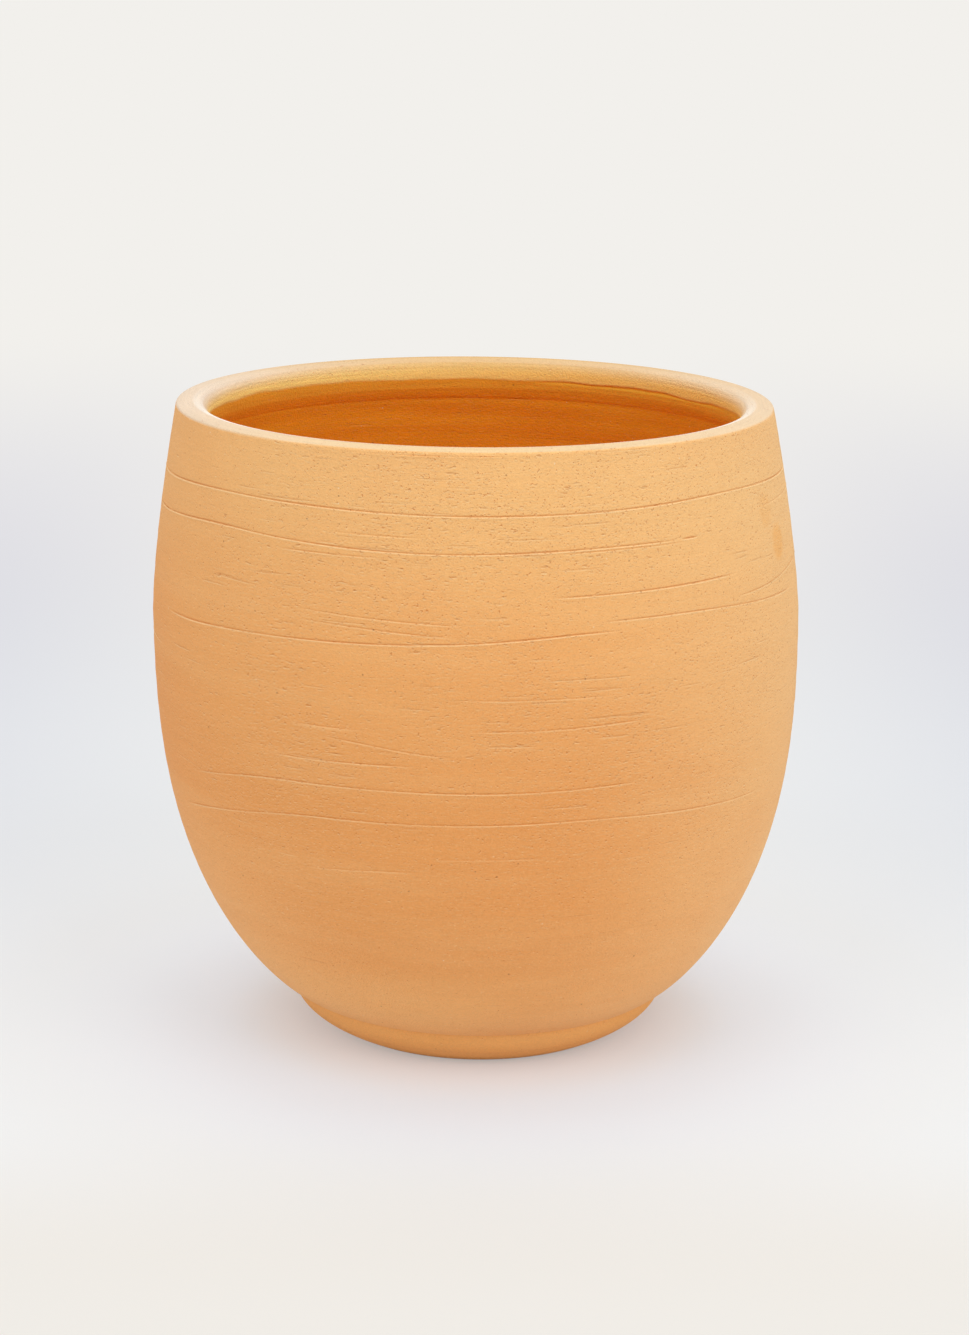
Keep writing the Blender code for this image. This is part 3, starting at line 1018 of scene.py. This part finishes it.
# %% What is known at each point
def read_place(tree):
    """Where a point lies, how far right and back it faces, and the numbers kept on the vertices."""
    wheel = use_group(tree, wheel_place, Point=add_node(tree, "TexCoord").outputs["Object"])
    place = {label: wheel[label] for label in ("Upright", "Direction", "Radius", "Height")}
    facing = separate(tree, place["Direction"])
    place["Right"], place["Back"] = facing["X"], facing["Y"]
    for name in ("scored", "hollow", "lip_cap"):
        place[name] = add_node(tree, "Attribute", attribute_name=name).outputs["Fac"]
    return place


print("kept on the lip:", [layer.name for layer in lip.data.attributes if layer.data_type == "FLOAT"])

# %% The outside
# The clay that comes in over a height: (from, to, clay), in metres
CLAY_BY_HEIGHT = ((0.125, 0.200, CLAY), (0.185, 0.262, HIGH_CLAY))
# Painted light and shade towards a side, paler towards the lit right and warmer and darker towards the left:
# (from, to, share, clay), where 1 is the right edge and -1 the left
SIDE_LIGHT_AND_SHADE = ((0.2, 1.05, 0.50, PALE_CLAY), (0.75, 1.05, 0.22, PALE_CLAY), (-0.55, -1.05, 0.38, WARM_CLAY))
# Two warm stains near the right edge: (centre, reach each way, share)
STAINS = (((0.1266, -0.0499, 0.2260), (0.0060, 0.0060, 0.0068), 0.60),
          ((0.1204, -0.0587, 0.2410), (0.0055, 0.0055, 0.0065), 0.28))


def body_tone(tree, place, drift):
    """Pale just above the foot, painted light against the shade there, deeper low down and pale on the
    shoulder; paler to the right and warmer to the left as painted light and shade, and paler at both sides
    low down.
    """
    height, right = place["Height"], place["Right"]
    # Paler just above the foot, as painted light against the shade there
    tone = blend_colours(tree, soft_step(tree, height, 0.025, 0.070), FOOT_CLAY, LOW_CLAY)
    for start, full, clay in CLAY_BY_HEIGHT:
        tone = blend_colours(tree, soft_step(tree, height, start, full), tone, clay)
    for start, full, share, clay in SIDE_LIGHT_AND_SHADE:
        tone = blend_colours(tree, soft_step(tree, right, start, full, 0.0, share), tone, clay)
    low_sides = product(tree, soft_step(tree, calc(tree, "ABSOLUTE", right), 0.3, 1.0, 0.0, 0.3),
                        soft_step(tree, height, 0.13, 0.07))
    tone = blend_colours(tree, low_sides, tone, PALE_CLAY)
    for centre, reach, share in STAINS:
        apart = calc_vector(tree, "SUBTRACT", place["Upright"], centre)
        apart = calc_vector(tree, "LENGTH", calc_vector(tree, "DIVIDE", apart, reach))
        apart = calc(tree, "MULTIPLY_ADD", drift, 0.4, apart)
        tone = blend_colours(tree, soft_step(tree, apart, 1.6, 0.9, 0.0, share), tone, STAIN_CLAY)
    warmest = soft_step(tree, height, 0.17, 0.24, 0.35, 0.18)
    return blend_colours(tree, soft_step(tree, drift, 0.42, 0.72, 0.0, warmest), tone, WARM_CLAY)


print("heights of the stains in mm:", [round(centre[2] / MM, 1) for centre, reach, share in STAINS])


# %% The lip and the inside
def lip_tone(tree, place):
    """Painted highlight and sheen: pale, palest at the sides where the light grazes the lip, warmer and
    darker at the back, paler on the inner face at the left than at the right, with a painted highlight on
    the inner edge in front.
    """
    right, back = place["Right"], place["Back"]
    tone = blend_colours(tree, soft_step(tree, back, -0.3, 0.9), FRONT_LIP, BACK_LIP)
    beside = product(tree, right, right, calc(tree, "MULTIPLY_ADD", right, -0.22, 0.82))
    tone = blend_colours(tree, beside, tone, SIDE_LIP)
    inner = blend_colours(tree, soft_step(tree, right, -0.8, 0.8), LEFT_INNER_LIP, RIGHT_INNER_LIP)
    tone = blend_colours(tree, soft_step(tree, place["Height"], 0.2760, 0.2700), tone, inner)
    edge_highlight = product(tree, stripe(tree, place["Radius"], 0.1158, 0.1166, 0.1194, 0.1212),
                   soft_step(tree, back, 0.3, -0.8, 0.1, 1.0))
    return blend_colours(tree, edge_highlight, tone, FRONT_EDGE_HIGHLIGHT)


def inside_tone(tree, place, broad):
    """Painted shade inside the pot: a deep orange for the shade and the orange light bouncing there,
    drifting at random, with a paler band under the lip as painted light, and deepest as painted shade in a
    band near the rim and again lower down.
    """
    height = place["Height"]
    tone = blend_colours(tree, soft_step(tree, broad, 0.35, 0.65), SHADED_INSIDE, DEEPER_SHADED_INSIDE)
    tone = blend_colours(tree, soft_step(tree, height, 0.2600, 0.2640), tone, LIT_INSIDE_BAND)
    deepest = calc(tree, "MAXIMUM", stripe(tree, height, 0.2572, 0.2584, 0.2622, 0.2632),
                   soft_step(tree, height, 0.2465, 0.2435))
    return blend_colours(tree, product(tree, deepest, 0.5), tone, DEEPER_SHADED_INSIDE)


print("tones: body_tone, lip_tone, inside_tone")

# %% Where the marks lie
# How much higher each mark is looked up again, for the painted highlight under it
BURR_RISE = 0.45 * MM
# Grains in the clay: (distance between two, the same upwards, share of places that hold one, size, shift)
SPECK_GRAINS, LIME_GRAINS = (0.0044, 0.0040, 0.18, 0.12, 3.1), (0.0050, 0.0046, 0.20, 0.09, 11.7)


def crowding(tree, place, mark_share):
    """How close the marks lie: close on the shoulder, thin low down, at the left, on lip and inside."""
    patch = cloud_noise(tree, place["Upright"], 17.0, 3.0)
    return product(
        tree,
        soft_step(tree, place["Height"], 0.03, 0.16, 0.45, 1.0),
        soft_step(tree, patch, 0.36, 0.60, 0.75, 1.0),
        soft_step(tree, place["lip_cap"], 0.0, 1.0, 1.0, 0.45),
        soft_step(tree, place["Right"], -0.5, -1.0, 1.0, 0.55),
        soft_step(tree, place["hollow"], 0.0, 1.0, 1.0, 0.55),
        soft_step(tree, place["Height"], 0.20, 0.255, mark_share, 1.05 * mark_share))


def read_marks(tree, place, crowd):
    """The masks of all marks at a point, and for each kind a mask just under it, where a painted highlight
    stands for the burr that it pushed out.
    """
    long_share = product(tree, soft_step(tree, place["Height"], 0.09, 0.17, 0.45, 0.95),
                         soft_step(tree, place["Right"], 0.25, 0.85, 1.0, 0.6))
    wanted = {label: place[label] for label in ("Upright", "Direction", "Radius", "Height")}
    wanted.update({"Amount": crowd, "Long Amount": product(tree, crowd, long_share)})
    here = use_group(tree, clay_skin, **wanted)
    higher = use_group(tree, clay_skin, **wanted, Higher=BURR_RISE)
    marks = {label: here[label] for label in ("Sand", "Flecks", "Pits", "Drags", "Hairs")}
    # Where a mark shows only a little higher up, a painted highlight goes: these masks carry colour, not
    # relief
    for label in ("Flecks", "Pits", "Drags", "Hairs"):
        marks[label + " burr"] = calc(tree, "SUBTRACT", higher[label], here[label], clamp=True)
    for label, (length, breadth, share, size, shift) in (("Specks", SPECK_GRAINS), ("Lime", LIME_GRAINS)):
        marks[label] = use_group(tree, clay_grains, Point=place["Upright"], Length=length, Breadth=breadth,
                                 Share=share, Size=size, Shift=shift)["Mask"]
    return marks


print("specks and lime lie apart by mm:", round(SPECK_GRAINS[0] / MM, 1), round(LIME_GRAINS[0] / MM, 1))

# %% The colour before any mark
SAND_SHADE = 0.22
# The streaks on the lip and inside are stronger, the body is a touch lighter than the paints above, and the
# inside is darkened a little more as painted shade
LIP_AND_INSIDE_STREAKS, BODY_LIGHTNESS, LIP_DIMMED, INSIDE_SHADE_DIMMING = 0.16, 1.022, 0.02, 0.03


def streaked_tone(tree, place, sand, streak_strength, base):
    """The clay before any mark: the drift, the lip with its painted sheen and the inside with its painted
    shade, shaded by fine streaks and sand.
    """
    drift = cloud_noise(tree, place["Upright"], 8.0, 3.0)
    broad = wheel_noise(tree, place, 1.1, 70.0, 2.0)
    fine = wheel_noise(tree, place, 4.0, 700.0, 3.0)
    tone = base or body_tone(tree, place, drift)
    tone = blend_colours(tree, soft_step(tree, broad, 0.42, 0.72, 0.0, 0.12), tone, PALE_CLAY)
    tone = blend_colours(tree, place["lip_cap"], tone, lip_tone(tree, place))
    ragged = calc(tree, "MULTIPLY_ADD", sand, 0.3, place["hollow"])
    tone = blend_colours(tree, soft_step(tree, ragged, 0.40, 0.95), tone, inside_tone(tree, place, broad))
    strength = calc(tree, "MULTIPLY_ADD", calc(tree, "MAXIMUM", place["lip_cap"], place["hollow"]),
                    LIP_AND_INSIDE_STREAKS, streak_strength)
    lightness = calc(tree, "MULTIPLY_ADD", place["hollow"], -INSIDE_SHADE_DIMMING, BODY_LIGHTNESS)
    lightness = calc(tree, "MULTIPLY_ADD", place["lip_cap"], -LIP_DIMMED, lightness)
    shade = swing(tree, sand, SAND_SHADE, swing(tree, fine, strength, lightness))
    grey = add_node(tree, "CombineColor")
    for socket in grey.inputs[:3]:
        feed(tree, socket, shade)
    return blend_colours(tree, 1.0, tone, grey.outputs[0], "MULTIPLY"), fine


print("lightness of the body, the lip and the inside:", BODY_LIGHTNESS, BODY_LIGHTNESS - LIP_DIMMED,
      BODY_LIGHTNESS - INSIDE_SHADE_DIMMING)

# %% The colour of the marks
# For each kind of mark: the share of painted shade in it, and of painted highlight on the burr under it
SHADE_AND_HIGHLIGHT_OF_MARKS = (("Pits", 0.60, 0.50), ("Drags", 0.38, 0.45), ("Hairs", 0.22, 0.35))
FLECK_SHADE, FLECK_HIGHLIGHT = 0.07, 1.2
SCORED_SHADE, SCORED_HIGHLIGHT = 0.42, 0.55
SPECK_SHARE, LIME_SHARE = 0.55, 0.60


def marked_tone(tree, tone, place, marks, crowd):
    """Lays the painted shade and painted highlights of the wheel lines and of the marks with their burrs,
    and the grains, over a tone.
    """
    # Painted shade in each wheel line's cut, then a painted highlight on the burr under it
    tone = blend_colours(tree, calc(tree, "MULTIPLY", place["scored"], SCORED_SHADE, clamp=True), tone, PAINTED_SHADE)
    tone = blend_colours(tree, calc(tree, "MULTIPLY", place["scored"], -SCORED_HIGHLIGHT, clamp=True), tone, PAINTED_HIGHLIGHT)
    outside = calc(tree, "MULTIPLY_ADD", place["hollow"], -0.7, 1.0)
    for label, dark, pale in SHADE_AND_HIGHLIGHT_OF_MARKS:
        tone = blend_colours(tree, product(tree, marks[label], dark), tone, PAINTED_SHADE)
        tone = blend_colours(tree, product(tree, marks[label + " burr"], pale, outside), tone, PAINTED_HIGHLIGHT)
    # Painted shade in the flecks' dimples and a painted highlight under them
    painted_dimple_shade = product(tree, soft_step(tree, marks["Flecks"], 0.50, 0.36), crowd, FLECK_SHADE)
    tone = blend_colours(tree, painted_dimple_shade, tone, PAINTED_SHADE)
    tone = blend_colours(tree, product(tree, marks["Flecks burr"], crowd, FLECK_HIGHLIGHT), tone, PAINTED_HIGHLIGHT)
    tone = blend_colours(tree, product(tree, marks["Specks"], SPECK_SHARE), tone, SPECK)
    return blend_colours(tree, product(tree, marks["Lime"], LIME_SHARE), tone, LIME)


print("kinds of mark with a colour:", [label for label, dark, pale in SHADE_AND_HIGHLIGHT_OF_MARKS])

# %% The relief
# Heights in mm: below 0 is cut in
STREAK_RELIEF, FLECK_RELIEF = 0.15, 0.40
RELIEF_OF_MARKS = (("Sand", 0.38), ("Pits", -0.10), ("Drags", -0.12), ("Hairs", -0.10), ("Specks", -0.10))


def bumped_normal(tree, fine, marks, crowd):
    level = product(tree, fine, STREAK_RELIEF)
    level = calc(tree, "MULTIPLY_ADD", product(tree, marks["Flecks"], crowd), FLECK_RELIEF, level)
    for label, height in RELIEF_OF_MARKS:
        level = calc(tree, "MULTIPLY_ADD", marks[label], height, level)
    bump = add_node(tree, "Bump")
    feed(tree, bump.inputs["Height"], level)
    feed(tree, bump.inputs["Distance"], MM)
    feed(tree, bump.inputs["Strength"], 1.0)
    return bump.outputs[0]


print("relief of the marks in mm:", dict(RELIEF_OF_MARKS))

# %% The terracotta
ROUGHNESS, ROUGHNESS_SWING, SPECULAR = 0.85, 0.12, 0.35


def make_terracotta(name, streak_strength, mark_share, base=None):
    """Fired clay. Without a base colour of its own it drifts from a deep foot to a pale shoulder."""
    material = bpy.data.materials.new(name)
    material.use_nodes = True
    tree = material.node_tree
    shader = tree.nodes["Principled BSDF"]
    place = read_place(tree)
    crowd = crowding(tree, place, mark_share)
    marks = read_marks(tree, place, crowd)
    tone, fine = streaked_tone(tree, place, marks["Sand"], streak_strength, base)
    feed(tree, shader.inputs["Base Color"], marked_tone(tree, tone, place, marks, crowd))
    feed(tree, shader.inputs["Roughness"], swing(tree, marks["Sand"], ROUGHNESS_SWING, ROUGHNESS))
    feed(tree, shader.inputs["Specular IOR Level"], SPECULAR)
    feed(tree, shader.inputs["Normal"], bumped_normal(tree, fine, marks, crowd))
    return material


thrown_clay = make_terracotta("thrown_terracotta", 0.08, 0.85)
trimmed_clay = make_terracotta("trimmed_terracotta", 0.05, 0.15, TRIMMED_CLAY)
for piece in pot_pieces:
    piece.data.materials.clear()
    piece.data.materials.append(trimmed_clay if piece in (foot_ring, floor_slab) else thrown_clay)
print("materials:", thrown_clay.name, trimmed_clay.name)

# %% [markdown]
# A pale studio
#
# The photograph was taken on white card that runs up behind the pot. A very wide floor fills the picture
# just as well and never gets in the way when the camera walks round to the back. The card takes the pot's
# shadow, so it is lit near the pot. Further out it glows with its own colour as the camera sees it, which
# keeps it even without more light on the clay. That colour is a warm white, with painted shade beside the
# pot, where it is darker and cooler, and painted light in a ring round the foot, where a brighter, cooler
# white cancels the orange tinge that the clay throws on the card.

# %% The card's colours
# The second glow colour is painted shade beside the pot, the third painted light in a ring round the foot
WARM_WHITE, COOL_WHITE, RING_WHITE = paint(242, 240, 236), paint(219, 219, 227), paint(243, 247, 249)
BLUE_WHITE, ROSE_WHITE, FRONT_WHITE = paint(236, 243, 250), paint(234, 233, 244), paint(228, 226, 221)
CARD_RADIUS, BELOW_THE_FOOT = 30.0, 0.05 * MM
print("card radius in metres:", CARD_RADIUS)


# %% Floor
def glow_tone(tree, spot, gone):
    """The colour that the card glows with, darker and cooler beside the pot as painted shade, and brighter
    and cooler in a ring round the foot as painted light. Spot is a place on it, and gone its distance from
    the pot.
    """
    beside = soft_step(tree, calc(tree, "ABSOLUTE", spot["X"]), 0.05, 0.42)
    cool = product(tree, beside, stripe(tree, spot["Y"], -0.30, 0.40, 0.5, 2.2))
    tone = blend_colours(tree, cool, WARM_WHITE, COOL_WHITE)
    return blend_colours(tree, stripe(tree, gone, 0.085, 0.12, 0.14, 0.22), tone, RING_WHITE)


def paper_tone(tree, spot, gone):
    """The card's own colour where it is lit."""
    tone = blend_colours(tree, soft_step(tree, gone, 0.22, 0.10), BLUE_WHITE, ROSE_WHITE)
    return blend_colours(tree, soft_step(tree, spot["Y"], -0.13, -0.28), tone, FRONT_WHITE)


def make_card():
    material = bpy.data.materials.new("white_card")
    material.use_nodes = True
    tree = material.node_tree
    where = add_node(tree, "TexCoord").outputs["Object"]
    spot, gone = separate(tree, where), calc_vector(tree, "LENGTH", where)
    shader = tree.nodes["Principled BSDF"]
    feed(tree, shader.inputs["Base Color"], paper_tone(tree, spot, gone))
    feed(tree, shader.inputs["Roughness"], 0.9)
    feed(tree, shader.inputs["Specular IOR Level"], 0.1)
    glow = add_node(tree, "Emission")
    feed(tree, glow.inputs["Color"], glow_tone(tree, spot, gone))
    glow_share = product(tree, seen_directly(tree), soft_step(tree, gone, 0.25, 1.2, 0.50, 1.0),
                         soft_step(tree, gone, 0.07, 0.11, 0.76, 1.0))
    mixed = add_node(tree, "MixShader")
    feed(tree, mixed.inputs[0], glow_share)
    feed(tree, mixed.inputs[1], shader.outputs[0])
    feed(tree, mixed.inputs[2], glow.outputs[0])
    feed(tree, tree.nodes["Material Output"].inputs["Surface"], mixed.outputs[0])
    return material


select_nothing()
bpy.ops.mesh.primitive_circle_add(
    vertices=96, radius=CARD_RADIUS, fill_type="TRIFAN", location=(0.0, 0.0, -BELOW_THE_FOOT))
studio_floor = bpy.context.object
studio_floor.name = "studio_floor"
studio_floor.data.materials.append(make_card())
print("floor:", studio_floor.name)

# %% Lamps
LAMP_COLOUR = (1.0, 0.99, 0.97)
# Soft boxes: (name, place, height on the pot's axis that it faces, width, height of the box, watts)
SOFT_BOXES = (
    ("key_light", (1.0, -1.3, 1.5), 0.15, 1.2, 1.2, 11.5),
    ("fill_light", (-1.0, -1.3, 1.5), 0.15, 1.2, 1.2, 9.0),
    ("top_light", (0.0, 0.25, 1.9), 0.20, 1.4, 1.4, 15.0),
    ("right_light", (2.4, -1.0, 0.6), 0.12, 1.6, 1.2, 8.0),
    ("left_light", (-2.4, -1.0, 0.6), 0.12, 1.6, 1.2, 6.0),
)


def soft_box(name, place, aim, width, height, watts):
    """A rectangular lamp that faces the pot's axis at a height. The camera doesn't see it."""
    lamp = bpy.data.lights.new(name, "AREA")
    lamp.shape, lamp.size, lamp.size_y = "RECTANGLE", width, height
    lamp.energy, lamp.color = watts, LAMP_COLOUR
    held = bpy.data.objects.new(name, lamp)
    held.location = place
    held.rotation_euler = (Vector((0.0, 0.0, aim)) - Vector(place)).to_track_quat("-Z", "Y").to_euler()
    held.visible_camera = False
    bpy.context.scene.collection.objects.link(held)


for box in SOFT_BOXES:
    soft_box(*box)
print("lamps:", [box[0] for box in SOFT_BOXES])

# %% World
AIR_LIGHT, AIR_SEEN = 0.42, 0.89
world = bpy.data.worlds.new("studio_air")
bpy.context.scene.world = world
world.use_nodes = True
tree = world.node_tree
air = tree.nodes["Background"]
feed(tree, air.inputs["Color"], paint(252, 251, 250))
strength = calc(tree, "MULTIPLY_ADD", seen_directly(tree), AIR_SEEN - AIR_LIGHT, AIR_LIGHT)
feed(tree, air.inputs["Strength"], strength)
print("world:", world.name)

# %% [markdown]
# The camera
#
# It stands about 1.4 m in front of the pot and half a metre up, looking down 14 degrees with a long lens,
# which keeps the barrel from swelling. Its place comes from fitting the pot's outline to the photograph.

# %% Camera
FOCAL_PIXELS, PICTURE_HEIGHT = 3200, 1335
CAMERA_PLACE, LOOKS_DOWN, ROLL = (0.00153, -1.3592, 0.4968), math.radians(13.993), math.radians(0.559)
lens = bpy.data.cameras.new("camera")
lens.lens = FOCAL_PIXELS / PICTURE_HEIGHT * lens.sensor_width
camera = bpy.data.objects.new("camera", lens)
camera.rotation_mode = "QUATERNION"
tilt = Matrix.Rotation(math.radians(90) - LOOKS_DOWN, 4, "X")
camera.matrix_world = Matrix.Translation(CAMERA_PLACE) @ tilt @ Matrix.Rotation(ROLL, 4, "Z")
bpy.context.scene.collection.objects.link(camera)
bpy.context.scene.camera = camera
bpy.context.scene.view_settings.view_transform = "Standard"
print("lens in mm:", round(lens.lens, 2))

# %% Update the scene
bpy.context.view_layer.update()
